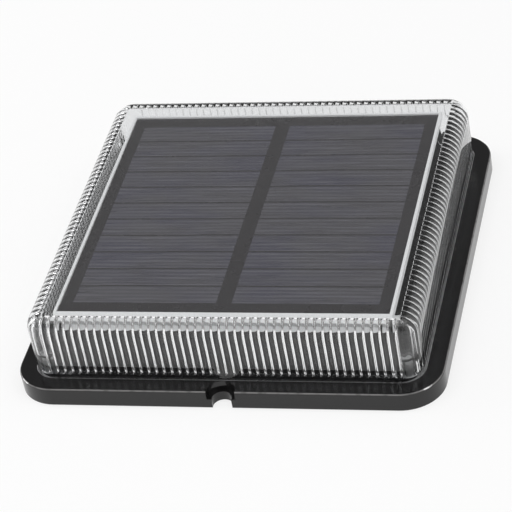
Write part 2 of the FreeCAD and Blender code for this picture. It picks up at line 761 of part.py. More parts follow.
def lampsAndBoards():
    items = []
    pair = [lampShape(-d.lamp_x.value), lampShape(d.lamp_x.value)]
    for side, angle in SIDES:
        body = newBody("led_board_" + side)
        outline = newSketch(body, "outline", "XZ_Plane", well_face - d.lamp_board_thickness)
        half = d.lamp_board_length / 2
        drawRectangle(outline, -half, half, d.lamp_board_lift, d.lamp_board_lift + d.lamp_board_height)
        padded(body, "board", outline, d.lamp_board_thickness)
        body.Placement = Placement(Vector(0, 0, 0), Rotation(Vector(0, 0, 1), angle))
        items.append(body)
        items.append(group("leds_" + side, [turned(lamp, angle) for lamp in pair]))
    return items


# ---------------------------------------------------------------- cell and contacts

def batteryCell():
    body = newBody("battery_cell")
    section = newSketch(body, "section", "XZ_Plane")
    start = -d.battery_length / 2
    end = d.battery_length / 2
    shoulder = end - d.battery_nub_height
    edge = d.battery_nub_height / 2
    drawPolygon(section, ((start, ZERO), (start, d.battery_radius - edge), (start + edge, d.battery_radius),
                          (shoulder - edge, d.battery_radius), (shoulder, d.battery_radius - edge),
                          (shoulder, d.battery_nub_radius), (end, d.battery_nub_radius), (end, ZERO)))
    revolved(body, "can", section, "X_Axis")
    place(body, ZERO, d.battery_y, battery_z)
    return body


def contactPlus():
    back, unused = contactBacks()
    foot = d.floor_thickness + d.solder_gap
    return block("battery_contact_plus", d.contact_thickness, d.contact_width, d.contact_top - foot,
                 back - d.contact_thickness / 2, d.battery_y, foot)


def contactMinus():
    # a strip folded at its top, whose free end bows out against the cell
    body = newBody("battery_contact_minus")
    unused, back = contactBacks()
    sheet_t = d.contact_thickness
    foot = d.floor_thickness + d.solder_gap
    tip = back + sheet_t + d.leaf_bow
    fold = back + 2 * sheet_t
    profile = newSketch(body, "profile", "XZ_Plane", -d.battery_y)
    drawPolygon(profile, ((back, foot), (back + sheet_t, foot), (back + sheet_t, d.contact_top - 2 * sheet_t),
                          (tip - sheet_t, battery_z), (fold, foot + 2 * sheet_t),
                          (fold + sheet_t, foot + 2 * sheet_t), (tip, battery_z),
                          (fold, d.contact_top), (back, d.contact_top)))
    padded(body, "strip", profile, d.contact_width, both=True)
    return body


# ---------------------------------------------------------------- control board

def boardPoints():
    for x in (-d.board_hole_x, d.board_hole_x):
        for y in (d.board_y - d.board_hole_y, d.board_y + d.board_hole_y):
            yield x, y


def controlBoard():
    body = newBody("control_board")
    outline = newSketch(body, "outline", "XY_Plane", d.board_lift)
    half_x, half_y = d.board_length / 2, d.board_width / 2
    drawRectangle(outline, -half_x, half_x, d.board_y - half_y, d.board_y + half_y)
    for x, y in boardPoints():
        drawCircle(outline, x, y, d.board_screw_radius + d.screw_play)
    padded(body, "board", outline, d.board_thickness)
    return body


def controllerChip():
    x, y = ZERO, d.board_y
    return block("controller_chip", d.chip_length, d.chip_width, d.chip_height, x, y, board_top)


def inductor():
    # a ferrite bobbin: two cheeks and a narrower winding between them
    body = newBody("inductor")
    section = newSketch(body, "section", "XZ_Plane")
    cheek = d.coil_height / 5
    waist = d.coil_radius * 0.8
    drawPolygon(section, ((ZERO, ZERO), (d.coil_radius, ZERO), (d.coil_radius, cheek), (waist, cheek),
                          (waist, d.coil_height - cheek), (d.coil_radius, d.coil_height - cheek),
                          (d.coil_radius, d.coil_height), (ZERO, d.coil_height)))
    revolved(body, "bobbin", section)
    place(body, -d.board_hole_x / 2, d.board_y - d.board_width / 5, board_top)
    return body


def storageCapacitor():
    return drum("storage_capacitor", d.capacitor_radius, d.capacitor_height,
                d.board_hole_x / 2, d.board_y - d.board_width / 5, board_top)


# ---------------------------------------------------------------- push switch

def switchBody():
    case = block("switch_case", d.switch_width, d.switch_width, d.switch_height,
                 d.switch_x, d.switch_y, switch_bottom)
    bore = drum("switch_bore", d.button_stem_radius + d.stem_play,
                d.stem_engagement + 2 * d.button_travel, d.switch_x, d.switch_y, switch_bottom)
    body = doc.addObject("Part::Cut", "switch_body")
    body.Label = "switch_body"
    body.Base = case
    body.Tool = bore
    return body


def switchSeal():
    body = newBody("switch_seal")
    ring = newSketch(body, "outline", "XY_Plane")
    drawCircle(ring, 0, 0, d.button_radius + d.button_flange)
    drawCircle(ring, 0, 0, d.button_radius + d.button_play)
    padded(body, "ring", ring, d.button_seal_thickness)
    place(body, d.switch_x, d.switch_y, d.floor_thickness)
    return body


def switchButton():
    # cap, flange and stem, turned about the line of travel
    body = newBody("switch_button")
    section = newSketch(body, "section", "XZ_Plane")
    rest = seal_top + d.solder_gap
    flange_top = rest + d.button_flange_height
    tip = switch_bottom + d.stem_engagement
    reach = d.button_radius + d.button_flange
    drawPolygon(section, ((ZERO, d.button_recess), (d.button_radius, d.button_recess),
                          (d.button_radius, rest), (reach, rest), (reach, flange_top),
                          (d.button_stem_radius, flange_top), (d.button_stem_radius, tip), (ZERO, tip)))
    turn = revolved(body, "turned", section)
    rim = edgesWhere(turn, atHeight(d.button_recess.value))
    dressed(body, "Fillet", "soft_edge", turn, rim, d.button_play)
    place(body, d.switch_x, d.switch_y, ZERO)
    return body


# ---------------------------------------------------------------- screws

def panScrew(radius, head_radius, head_height, length, direction):
    # the head's seat is at the origin and the shank runs along the direction given
    shank = Part.makeCylinder(radius, length, Vector(0, 0, 0), Vector(0, 0, direction))
    head = Part.makeCylinder(head_radius, head_height, Vector(0, 0, 0), Vector(0, 0, -direction))
    crown = [edge for edge in head.Edges if abs(edge.BoundBox.ZMin + direction * head_height) < 1e-6
             and abs(edge.BoundBox.ZMax + direction * head_height) < 1e-6]
    head = head.makeFillet(head_height * 0.4, crown)
    return shank.fuse(head).removeSplitter()


def countersunkScrew(radius, head_radius, head_depth, length):
    # hangs down from the origin
    shank = Part.makeCylinder(radius, length, Vector(0, 0, -length))
    head = Part.makeCone(radius, head_radius, head_depth, Vector(0, 0, -head_depth))
    return shank.fuse(head).removeSplitter()


def moved(shape, x, y, z):
    copy = shape.copy()
    copy.translate(Vector(x, y, z))
    return copy


def screwGroups():
    corner = d.boss_offset.value
    housing = panScrew(d.screw_radius.value, d.screw_head_radius.value,
                       d.screw_head_height.value, d.screw_reach.value, 1)
    seat = d.screw_head_seat.value
    tray = countersunkScrew(d.tray_screw_radius.value, d.tray_head_radius.value,
                            d.tray_head_depth.value, d.tray_screw_length.value)
    offset = d.tray_screw_offset.value
    board = panScrew(d.board_screw_radius.value, d.board_head_radius.value,
                     d.board_head_height.value, d.board_screw_length.value, -1)
    signs = ((-1, -1), (1, -1), (1, 1), (-1, 1))
    return [
        group("housing_screws", [moved(housing, corner * a, corner * b, seat) for a, b in signs]),
        group("tray_screws", [moved(tray, offset * a, offset * b, plate_top.value) for a, b in signs]),
        group("board_screws", [moved(board, x.value, y.value, board_top.value) for x, y in boardPoints()]),
    ]


# ---------------------------------------------------------------- leads

def leadShape(points):
    # straight runs joined by tangent arcs, with a round section
    radius = d.lead_radius.value
    bend = d.lead_bend.value
    spots = [Vector(*point) for point in points]
    edges = []
    start = spots[0]
    for before, corner, after in zip(spots, spots[1:], spots[2:]):
        arriving = (corner - before).normalize()
        leaving = (after - corner).normalize()
        turn = arriving.getAngle(leaving)
        inset = bend * math.tan(turn / 2)
        first = corner - arriving * inset
        last = corner + leaving * inset
        bisector = (leaving - arriving).normalize()
        middle = corner + bisector * (bend / math.cos(turn / 2) - bend)
        edges.append(Part.LineSegment(start, first).toShape())
        edges.append(Part.Arc(first, middle, last).toShape())
        start = last
    edges.append(Part.LineSegment(start, spots[-1]).toShape())
    path = Part.Wire(edges)
    section = Part.Wire([Part.makeCircle(radius, spots[0], spots[1] - spots[0])])
    tube = path.makePipeShell([section], True, True)
    expected = math.pi * radius ** 2 * path.Length
    if abs(tube.Volume - expected) > 0.02 * expected:
        raise RuntimeError("a lead's volume is wrong")
    return tube


def buildLeads():
    # the routes of the leads inside, from solder joint to solder joint
    gap = d.solder_gap.value
    pad = board_top.value + gap
    plus_back, minus_back = contactBacks()
    contact_edge = (d.battery_y - d.contact_width / 2).value - gap
    plus_x = plus_back.value - d.contact_thickness.value / 2
    minus_x = minus_back.value + d.contact_thickness.value / 2
    high = d.contact_top.value - d.lead_radius.value
    drop = contact_edge - d.lead_sweep.value
    reach = (d.board_length / 2).value - 3
    items = []
    for label, x, sign in (("battery_lead_red", plus_x, 1), ("battery_lead_black", minus_x, -1)):
        route = ((x, contact_edge, high), (x, contact_edge - 4.5, high),
                 (sign * reach, drop - 3, high), (sign * reach, drop - 3, pad))
        items.append(group(label, [leadShape(route)]))
    for label, sign in (("panel_lead_red", 1), ("panel_lead_black", -1)):
        x, y = sign * d.lead_hole_x.value, d.lead_hole_y.value
        items.append(group(label, [leadShape(((x, y, panel_bottom.value - gap), (x, y, pad)))]))
    # from the control board to the front lamp board, one lead for each pole
    board_front = (d.board_y - d.board_width / 2).value
    lamp_back = -(well_face - d.lamp_board_thickness).value + gap
    level = (d.lamp_board_lift + d.lamp_board_height / 2).value
    feed = []
    for x in (-3.0, 3.0):
        route = ((x, lamp_back, level), (x, board_front + 2.5, level), (x, board_front + 2.5, pad))
        feed.append(leadShape(route))
    items.append(group("led_feed_leads", feed))
    # two leads round each corner join one lamp board to the next
    end = (d.lamp_board_length / 2).value - 1.5
    corner = (well_face - d.lamp_board_thickness).value - gap
    link_routes = []
    for height in (-1.5, 1.5):
        z = level + height
        link_routes.append(leadShape(((end, -corner, z), (end, -corner + 4.5, z),
                                      (corner - 4.5, -end, z), (corner, -end, z))))
    links = []
    for angle in (0, 90, 180):
        links.extend(turned(link, angle) for link in link_routes)
    items.append(group("led_link_leads", links))
    return items


# ---------------------------------------------------------------- build, check and write

cells = solarCells()
parts = [
    baseHousing(), baseGasket(), lensCover(), panelTray(), panelTape(), cells, panelBoard(cells),
    batteryCell(), contactPlus(), contactMinus(), controlBoard(), controllerChip(), inductor(),
    storageCapacitor(), switchBody(), switchSeal(), switchButton(),
]
parts += lampsAndBoards()
parts += screwGroups()
parts += buildLeads()
doc.recompute()

for item in doc.Objects:
    if "Invalid" in item.State or "Error" in item.State:
        raise RuntimeError("%s failed: %s" % (item.Name, item.State))
for part in parts:
    if part.Shape.isNull() or not part.Shape.isValid() or not part.Shape.Solids:
        raise RuntimeError("%s has no valid solid" % part.Label)

os.makedirs("parts", exist_ok=True)
for part in parts:
    part.Shape.exportStep("parts/%s.step" % part.Label)
    print("%-24s %d solids, %.1f mm3" % (part.Label, len(part.Shape.Solids), part.Shape.Volume))
print(len(parts), "parts")
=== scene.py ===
import json
import math
import bmesh
import bpy
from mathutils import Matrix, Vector


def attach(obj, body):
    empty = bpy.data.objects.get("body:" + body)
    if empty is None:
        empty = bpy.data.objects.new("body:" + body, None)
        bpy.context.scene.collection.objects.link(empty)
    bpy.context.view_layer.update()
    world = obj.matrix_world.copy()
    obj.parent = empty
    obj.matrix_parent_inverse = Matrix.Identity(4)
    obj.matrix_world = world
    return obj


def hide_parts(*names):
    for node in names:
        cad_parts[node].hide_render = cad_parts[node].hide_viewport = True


mm = 0.001
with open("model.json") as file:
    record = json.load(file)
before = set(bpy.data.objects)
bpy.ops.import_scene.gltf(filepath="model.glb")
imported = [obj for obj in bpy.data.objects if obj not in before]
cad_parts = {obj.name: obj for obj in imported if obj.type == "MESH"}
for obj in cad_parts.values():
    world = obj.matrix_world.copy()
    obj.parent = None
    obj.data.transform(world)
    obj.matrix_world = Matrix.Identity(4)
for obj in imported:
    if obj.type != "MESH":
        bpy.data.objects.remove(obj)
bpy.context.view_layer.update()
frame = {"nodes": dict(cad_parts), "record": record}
nodes = frame["nodes"]
print("frame loaded:", len(nodes), "nodes")


# ---- small helpers for selecting and placing

def deselectAll():
    if bpy.context.object and bpy.context.object.mode != "OBJECT":
        bpy.ops.object.mode_set(mode="OBJECT")
    bpy.ops.object.select_all(action="DESELECT")


def makeActive(piece):
    deselectAll()
    piece.select_set(True)
    bpy.context.view_layer.objects.active = piece


def newPiece(name):
    # the primitive that was just added becomes a named piece, with its place in its mesh
    piece = bpy.context.object
    piece.name = piece.data.name = name
    bpy.ops.object.transform_apply(location=True, rotation=True, scale=True)
    return piece


def pick(piece, test, kind="VERT"):
    # select the vertices, edges or faces whose middle, in millimetres, passes a test
    bpy.ops.mesh.select_mode(type=kind)
    bpy.ops.mesh.select_all(action="DESELECT")
    mesh = bmesh.from_edit_mesh(piece.data)
    count = 0
    for part in {"VERT": mesh.verts, "EDGE": mesh.edges, "FACE": mesh.faces}[kind]:
        if kind == "VERT":
            middle = part.co
        elif kind == "EDGE":
            middle = (part.verts[0].co + part.verts[1].co) / 2
        else:
            middle = part.calc_center_median()
        if test(middle / mm, part):
            part.select_set(True)
            count += 1
    mesh.select_flush_mode()
    bmesh.update_edit_mesh(piece.data)
    return count


def near(a, b, slack=0.002):
    return abs(a - b) < slack


def mergeClose(gap=0.002):
    bpy.ops.mesh.select_all(action="SELECT")
    bpy.ops.mesh.remove_doubles(threshold=gap * mm)


def copyRound():
    # one quarter becomes four: a copy turned by a quarter, then both turned by a half
    for turn in (math.pi / 2, math.pi):
        bpy.ops.mesh.select_all(action="SELECT")
        bpy.ops.mesh.duplicate()
        bpy.ops.transform.rotate(value=turn, orient_axis="Z", center_override=(0, 0, 0))


def facesOutward():
    bpy.ops.mesh.select_all(action="SELECT")
    bpy.ops.mesh.normals_make_consistent(inside=False)


def applyModifier(piece, kind, **values):
    makeActive(piece)
    modifier = piece.modifiers.new(kind.title(), kind)
    for name, value in values.items():
        setattr(modifier, name, value)
    bpy.ops.object.modifier_apply(modifier=modifier.name)


# ---- the clear cover with its reeds

cover = {
    "half": 52.5, "cornerRadius": 6.0, "wall": 1.5, "foot": 4.4, "top": 23.5, "shoulder": 5.0,
    "cornerSteps": 12, "shoulderSteps": 12, "smoothBelow": 30,
    "reedCount": 47, "reedPitch": 2.1, "reedDepth": 0.65, "reedStart": 5.75,
    "reedBend": 83.0, "reedTip": 84.5,
    "profileSteps": 12, "domeSteps": 8, "tipSteps": 3, "bendSteps": 10,
    "bossOffset": 48.2, "bossRadius": 2.4, "bossFoot": 5.3, "bossTop": 11.4,
    "bossBore": 1.4, "bossBoreTop": 10.4, "bossSides": 32,
}


def bendPoint(angle):
    # where the wall's inner face is after an angle of its bend into the top sheet
    inside = cover["half"] - cover["wall"]
    bend = cover["shoulder"] - cover["wall"]
    return bend - inside - bend * math.cos(angle), cover["top"] - cover["shoulder"] + bend * math.sin(angle)


def bendAngle(p):
    # the angle of a point about the middle of that bend, in radians
    bend = cover["shoulder"] - cover["wall"]
    return math.atan2(p.z - cover["top"] + cover["shoulder"], bend - cover["half"] + cover["wall"] - p.y)


def spinUp(angle, steps):
    inside = cover["half"] - cover["wall"]
    bend = cover["shoulder"] - cover["wall"]
    bpy.ops.mesh.spin(steps=steps, angle=angle, axis=(1, 0, 0),
                      center=(0, (bend - inside) * mm, (cover["top"] - cover["shoulder"]) * mm))


def reedWalls():
    # one reed is modelled at the left end of the front wall, then copied along it
    inside = cover["half"] - cover["wall"]
    half = cover["reedPitch"] / 2
    depth = cover["reedDepth"]
    radius = (half * half + depth * depth) / (2 * depth)
    sweep = math.asin(half / radius)
    x = -(cover["reedCount"] - 1) / 2 * cover["reedPitch"]
    centre = cover["reedStart"] + half
    shoulder = cover["top"] - cover["shoulder"]
    bend = cover["shoulder"] - cover["wall"]
    first, last = math.radians(cover["reedBend"]), math.radians(cover["reedTip"])

    def pickRow(turn):
        # the points that lie at one angle of the bend
        pick(wall, lambda p, v: near(bendAngle(p), turn, 0.0005) and p.z > shoulder + 0.01)

    deselectAll()
    bpy.ops.mesh.primitive_plane_add(size=0.1 * mm, location=((x - half) * mm, -inside * mm, centre * mm))
    wall = newPiece("coverReeds")
    bpy.ops.object.mode_set(mode="EDIT")
    bpy.ops.mesh.select_all(action="SELECT")
    bpy.ops.mesh.merge(type="CENTER")
    # the half-round section, from valley to valley
    bpy.ops.mesh.spin(steps=cover["profileSteps"], angle=2 * sweep, axis=(0, 0, 1),
                      center=(x * mm, (depth - radius - inside) * mm, centre * mm))
    # its rounded foot
    pick(wall, lambda p, v: p.x > x - 0.01)
    bpy.ops.mesh.spin(steps=cover["domeSteps"], angle=-math.pi,
                      center=(x * mm, 0, centre * mm), axis=(0, 1, 0))
    mergeClose()
    # up the wall and most of the way round the shoulder
    pick(wall, lambda p, v: near(p.z, centre))
    bpy.ops.mesh.extrude_edges_move(TRANSFORM_OT_translate={"value": (0, 0, (shoulder - centre) * mm)})
    spinUp(first, cover["bendSteps"])
    # its blunt upper end, row by row, each narrower and lower than the last
    steps = cover["tipSteps"]
    reach = (last - first) * bend
    wide, high, angle = 1.0, 1.0, first
    for step in range(1, steps + 1):
        turn = step / steps * math.pi / 2
        along = math.sin(turn) * half
        pickRow(angle)
        target = first + math.sin(turn) * reach / bend
        spinUp(target - angle, 1)
        angle = target
        pickRow(angle)
        newWide = math.cos(turn) if step < steps else 0.0
        newHigh = (math.sqrt(radius ** 2 - along ** 2) - radius + depth) / depth if step < steps else 0.0
        y, z = bendPoint(angle)
        bpy.ops.transform.resize(value=(newWide / wide, newHigh / high, newHigh / high),
                                 center_override=(x * mm, y * mm, z * mm))
        wide, high = newWide, newHigh
    mergeClose()
    # the plain surface on both sides of that end, and beyond it to the top sheet
    for side in (-1, 1):
        pick(wall, lambda p, e: e.is_boundary and side * (p.x - x) > 0.001
             and min(bendAngle(v.co / mm) for v in e.verts) > first - 0.001
             and max(abs(bendAngle(v.co / mm) - bendAngle(p)) for v in e.verts) > 0.00001, "EDGE")
        bpy.ops.mesh.extrude_edges_move()
        bpy.ops.transform.resize(value=(0, 1, 1), center_override=((x + side * half) * mm, 0, 0))
    mergeClose()
    pickRow(last)
    spinUp(math.pi / 2 - last, 1)
    # square off the foot against the plain band
    pick(wall, lambda p, e: near(p.y, -inside) and p.z < centre, "EDGE")
    bpy.ops.mesh.extrude_edges_move()
    bpy.ops.transform.resize(value=(1, 1, 0), center_override=(0, 0, cover["reedStart"] * mm))
    mergeClose()
    bpy.ops.object.mode_set(mode="OBJECT")
    applyModifier(wall, "ARRAY", count=cover["reedCount"], use_relative_offset=False,
                  use_constant_offset=True, constant_offset_displace=(cover["reedPitch"] * mm, 0, 0),
                  use_merge_vertices=True, merge_threshold=0.002 * mm)
    return wall


def innerShell():
    # corners, the other three sides, the plain band at the foot and the underside of the top sheet
    wall = reedWalls()
    crest = (cover["reedCount"] - 1) * cover["reedPitch"] / 2
    ceiling = cover["top"] - cover["wall"]
    makeActive(wall)
    bpy.ops.object.mode_set(mode="EDIT")
    # the outer halves of the first and last reeds go, and their crests carry on round the corners
    for side in (-1, 1):
        bpy.ops.mesh.select_all(action="SELECT")
        bpy.ops.mesh.bisect(plane_co=(side * crest * mm, 0, 0), plane_no=(side, 0, 0), clear_outer=True,
                            threshold=0.001 * mm)
        pick(wall, lambda p, v: near(p.x, side * crest) and p.y > -crest - 0.05)
        bpy.ops.transform.resize(value=(1, 0, 0), center_override=(0, -crest * mm, ceiling * mm))
    mergeClose()
    pick(wall, lambda p, v: near(p.x, crest))
    bpy.ops.mesh.spin(steps=cover["cornerSteps"], angle=-math.pi / 2,
                      center=(crest * mm, -crest * mm, 0), axis=(0, 0, 1))
    mergeClose()
    copyRound()
    mergeClose(0.003)
    pick(wall, lambda p, e: near(p.z, cover["reedStart"]) and e.is_boundary, "EDGE")
    bpy.ops.mesh.extrude_edges_move()
    bpy.ops.transform.translate(value=(0, 0, (cover["foot"] - cover["reedStart"]) * mm))
    count = pick(wall, lambda p, e: near(p.z, ceiling) and e.is_boundary, "EDGE")
    bpy.ops.mesh.edge_face_add()
    bpy.ops.object.mode_set(mode="OBJECT")
    print("inner shell:", len(wall.data.polygons), "faces,", count, "edges round the top sheet")
    return wall


def outerShell():
    # a box with rounded corners and shoulders, open below
    half, foot, top = cover["half"], cover["foot"], cover["top"]
    deselectAll()
    bpy.ops.mesh.primitive_cube_add(size=1, location=(0, 0, (foot + top) / 2 * mm),
                                    scale=(2 * half * mm, 2 * half * mm, (top - foot) * mm))
    shell = newPiece("coverShell")
    bpy.ops.object.mode_set(mode="EDIT")
    pick(shell, lambda p, e: near(p.z, (foot + top) / 2), "EDGE")
    bpy.ops.mesh.bevel(offset=cover["cornerRadius"] * mm, segments=cover["cornerSteps"], affect="EDGES")
    pick(shell, lambda p, e: near(p.z, top), "EDGE")
    bpy.ops.mesh.bevel(offset=cover["shoulder"] * mm, segments=cover["shoulderSteps"], affect="EDGES")
    pick(shell, lambda p, f: near(p.z, foot), "FACE")
    bpy.ops.mesh.delete(type="FACE")
    bpy.ops.object.mode_set(mode="OBJECT")
    print("outer shell:", len(shell.data.polygons), "faces")
    return shell


def screwBosses():
    # a clear post with a blind bore in each corner, for the screws from below
    offset, foot, radius = cover["bossOffset"], cover["bossFoot"], cover["bossRadius"]
    height = cover["bossTop"] - foot
    bore = cover["bossBoreTop"] - foot
    deselectAll()
    bpy.ops.mesh.primitive_cylinder_add(vertices=cover["bossSides"], radius=radius * mm, depth=height * mm,
                                        location=(offset * mm, -offset * mm, (foot + height / 2) * mm))
    posts = newPiece("coverBosses")
    bpy.ops.object.mode_set(mode="EDIT")
    pick(posts, lambda p, f: near(p.z, foot), "FACE")
    bpy.ops.mesh.inset(thickness=(radius - cover["bossBore"]) * mm)
    bpy.ops.mesh.extrude_region_move(TRANSFORM_OT_translate={"value": (0, 0, bore * mm)})
    copyRound()
    facesOutward()
    bpy.ops.object.mode_set(mode="OBJECT")
    return posts


def makeCover():
    # both shells are joined, closed at the foot and given their screw bosses
    inner = innerShell()
    outer = outerShell()
    deselectAll()
    inner.select_set(True)
    outer.select_set(True)
    bpy.context.view_layer.objects.active = outer
    bpy.ops.object.join()
    piece = bpy.context.object
    bpy.ops.object.mode_set(mode="EDIT")
    pick(piece, lambda p, e: near(p.z, cover["foot"]) and e.is_boundary, "EDGE")
    bpy.ops.mesh.fill()
    facesOutward()
    bpy.ops.object.mode_set(mode="OBJECT")
    posts = screwBosses()
    applyModifier(piece, "BOOLEAN", operation="UNION", object=posts, solver="EXACT")
    bpy.data.objects.remove(posts)
    makeActive(piece)
    bpy.ops.object.shade_smooth_by_angle(angle=math.radians(cover["smoothBelow"]))
    piece.name = piece.data.name = "clearCover"
    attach(piece, "root")
    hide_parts("lens_cover")
    mesh = bmesh.new()
    mesh.from_mesh(piece.data)
    print("cover:", len(mesh.faces), "faces,", sum(e.is_boundary for e in mesh.edges), "open edges,",
          sum(not e.is_manifold for e in mesh.edges), "not manifold,",
          round(mesh.calc_volume() / mm ** 3), "cubic mm")
    mesh.free()
    return piece


clearCover = makeCover()


# ---- materials: helpers and the effects that several of them share

def addNode(tree, kind, inputs=None, **settings):
    # a shader node with its settings; an input takes a value, or another node's output to link
    node = tree.nodes.new("ShaderNode" + kind)
    for name, value in settings.items():
        setattr(node, name, value)
    for name, value in (inputs or {}).items():
        if isinstance(value, bpy.types.NodeSocket):
            tree.links.new(value, node.inputs[name])
        else:
            node.inputs[name].default_value = value
    return node


def maths(tree, operation, *values):
    return addNode(tree, "Math", dict(enumerate(values)), operation=operation).outputs[0]


def product(tree, *values):
    result = values[0]
    for value in values[1:]:
        result = maths(tree, "MULTIPLY", result, value)
    return result


def remap(tree, value, low, high, start=0.0, end=1.0):
    # from start to end while the value goes from low to high
    return addNode(tree, "MapRange", {"Value": value, 1: low, 2: high, 3: start, 4: end}).outputs[0]


def mixColour(tree, factor, first, second):
    return addNode(tree, "Mix", {0: factor, 6: first, 7: second}, data_type="RGBA").outputs[2]


def stretched(tree, vector, scale):
    return addNode(tree, "Mapping", {"Vector": vector, "Scale": scale}).outputs[0]


def noise(tree, vector, scale, detail=2.0):
    return addNode(tree, "TexNoise", {"Vector": vector, "Scale": scale, "Detail": detail}).outputs[0]


def splitPlace(tree, place):
    return addNode(tree, "SeparateXYZ", {0: place}).outputs


def band(tree, value, low, high, soft):
    # 1 between two values and 0 outside them, with soft edges
    rise = remap(tree, value, low - soft, low + soft)
    fall = remap(tree, value, high - soft, high + soft, 1.0, 0.0)
    return product(tree, rise, fall)


def distance(tree, a, b):
    # how far a point is from a middle, from its offsets along two axes
    return maths(tree, "SQRT", maths(tree, "ADD", product(tree, a, a), product(tree, b, b)))


def grey(value):
    return (value, value, value, 1)


def newGroup(name, inputs, outputs):
    group = bpy.data.node_groups.new(name, "ShaderNodeTree")
    for label, kind, value in inputs:
        socket = group.interface.new_socket(label, in_out="INPUT", socket_type="NodeSocket" + kind)
        if value is not None:
            socket.default_value = value
    for label, kind in outputs:
        group.interface.new_socket(label, in_out="OUTPUT", socket_type="NodeSocket" + kind)
    return group, group.nodes.new("NodeGroupInput").outputs, group.nodes.new("NodeGroupOutput").inputs


moulded = {"grainShare": 0.4, "flowShare": 0.6, "toneFrom": 0.3, "toneTo": 0.7, "flowStretch": (1, 1, 2.5),
           "flowHeight": 2.0}


def makeMouldedSkin():
    # the faint grain, flow marks and uneven gloss of a moulded plastic or rubber skin
    group, given, result = newGroup(
        "mouldedSkin",
        [("Vector", "Vector", None), ("Light", "Color", grey(0.8)), ("Dark", "Color", grey(0.7)),
         ("Grain Scale", "Float", 4000), ("Flow Scale", "Float", 60), ("Roughness", "Float", 0.4),
         ("Gloss Spread", "Float", 0.1)],
        [("Colour", "Color"), ("Roughness", "Float"), ("Height", "Float")])
    place = given["Vector"]
    grain = noise(group, place, given["Grain Scale"], 3.0)
    flow = noise(group, stretched(group, place, moulded["flowStretch"]), given["Flow Scale"], 4.0)
    both = maths(group, "ADD", product(group, grain, moulded["grainShare"]),
                 product(group, flow, moulded["flowShare"]))
    tone = remap(group, both, moulded["toneFrom"], moulded["toneTo"])
    group.links.new(mixColour(group, tone, given["Dark"], given["Light"]), result["Colour"])
    off = product(group, maths(group, "SUBTRACT", flow, 0.5), given["Gloss Spread"])
    group.links.new(maths(group, "ADD", given["Roughness"], off), result["Roughness"])
    height = maths(group, "ADD", grain, product(group, flow, moulded["flowHeight"]))
    group.links.new(height, result["Height"])
    return group


brushed = {"patchScale": 350.0, "glossSpread": 0.2}


def makeBrushedMetal():
    # drawn or turned metal: long fine marks with a few duller patches
    group, given, result = newGroup(
        "brushedMetal",
        [("Vector", "Vector", None), ("Light", "Color", grey(0.8)), ("Dark", "Color", grey(0.6)),
         ("Stretch", "Vector", (1, 1, 20)), ("Mark Scale", "Float", 900), ("Roughness", "Float", 0.3)],
        [("Colour", "Color"), ("Roughness", "Float"), ("Height", "Float")])
    along = stretched(group, given["Vector"], given["Stretch"])
    marks = noise(group, along, given["Mark Scale"], 3.0)
    patches = noise(group, given["Vector"], brushed["patchScale"], 3.0)
    worn = product(group, marks, patches)
    group.links.new(mixColour(group, worn, given["Dark"], given["Light"]), result["Colour"])
    off = product(group, maths(group, "SUBTRACT", patches, 0.5), brushed["glossSpread"])
    group.links.new(maths(group, "ADD", given["Roughness"], off), result["Roughness"])
    group.links.new(marks, result["Height"])
    return group


tracks = {"randomness": 0.75, "gapFrom": 0.16, "gapTo": 0.2}


def makeBoardTracks():
    # copper tracks that show through a board's solder mask, parted along the edges of its cells
    group, given, result = newGroup(
        "boardTracks", [("Vector", "Vector", None), ("Track Scale", "Float", 320)], [("Mask", "Float")])
    second, nearest = [
        addNode(group, "TexVoronoi", {"Vector": given["Vector"], "Scale": given["Track Scale"],
                                      "Randomness": tracks["randomness"]},
                distance="MANHATTAN", feature=feature).outputs["Distance"]
        for feature in ("F2", "F1")]
    gap = maths(group, "SUBTRACT", second, nearest)
    group.links.new(remap(group, gap, tracks["gapFrom"], tracks["gapTo"]), result["Mask"])
    return group


mouldedSkin = makeMouldedSkin()
brushedMetal = makeBrushedMetal()
boardTracks = makeBoardTracks()


def newMaterial(name, **sockets):
    # an empty finish: its tree, its shader and the place that its patterns are measured from
    material = bpy.data.materials.new(name)
    material.use_nodes = True
    tree = material.node_tree
    shader = tree.nodes["Principled BSDF"]
    for socket, value in sockets.items():
        shader.inputs[socket.replace("_", " ")].default_value = value
    place = addNode(tree, "TexCoord").outputs["Object"]
    return material, tree, shader, place


def useGroup(tree, group, place, values):
    node = addNode(tree, "Group", node_tree=group)
    tree.links.new(place, node.inputs["Vector"])
    for name, value in values.items():
        node.inputs[name].default_value = value
    return node.outputs


def useSkin(tree, place, values):
    # the moulded skin, from values named by its light and dark colour, scales and roughness
    names = {"light": "Light", "dark": "Dark", "grain": "Grain Scale", "flow": "Flow Scale",
             "roughness": "Roughness", "glossSpread": "Gloss Spread"}
    return useGroup(tree, mouldedSkin, place, {names[key]: values[key] for key in names if key in values})


def linkTo(tree, shader, colour, roughness):
    tree.links.new(colour, shader.inputs["Base Color"])
    tree.links.new(roughness, shader.inputs["Roughness"])


def addBump(tree, shader, height, strength, depth):
    bump = addNode(tree, "Bump", {"Height": height, "Strength": strength, "Distance": depth * mm})
    tree.links.new(bump.outputs[0], shader.inputs["Normal"])


def skinMaterial(name, values):
    # a finish that is the moulded skin and nothing more
    material, tree, shader, place = newMaterial(name)
    skin = useSkin(tree, place, values)
    linkTo(tree, shader, skin["Colour"], skin["Roughness"])
    addBump(tree, shader, skin["Height"], values["bump"], values["depth"])
    return material


def metalMaterial(name, values, strength=0.2, depth=0.02):
    material, tree, shader, place = newMaterial(name, Metallic=1.0)
    metal = useGroup(tree, brushedMetal, place, values)
    linkTo(tree, shader, metal["Colour"], metal["Roughness"])
    addBump(tree, shader, metal["Height"], strength, depth)
    return material


# ---- the finishes that show

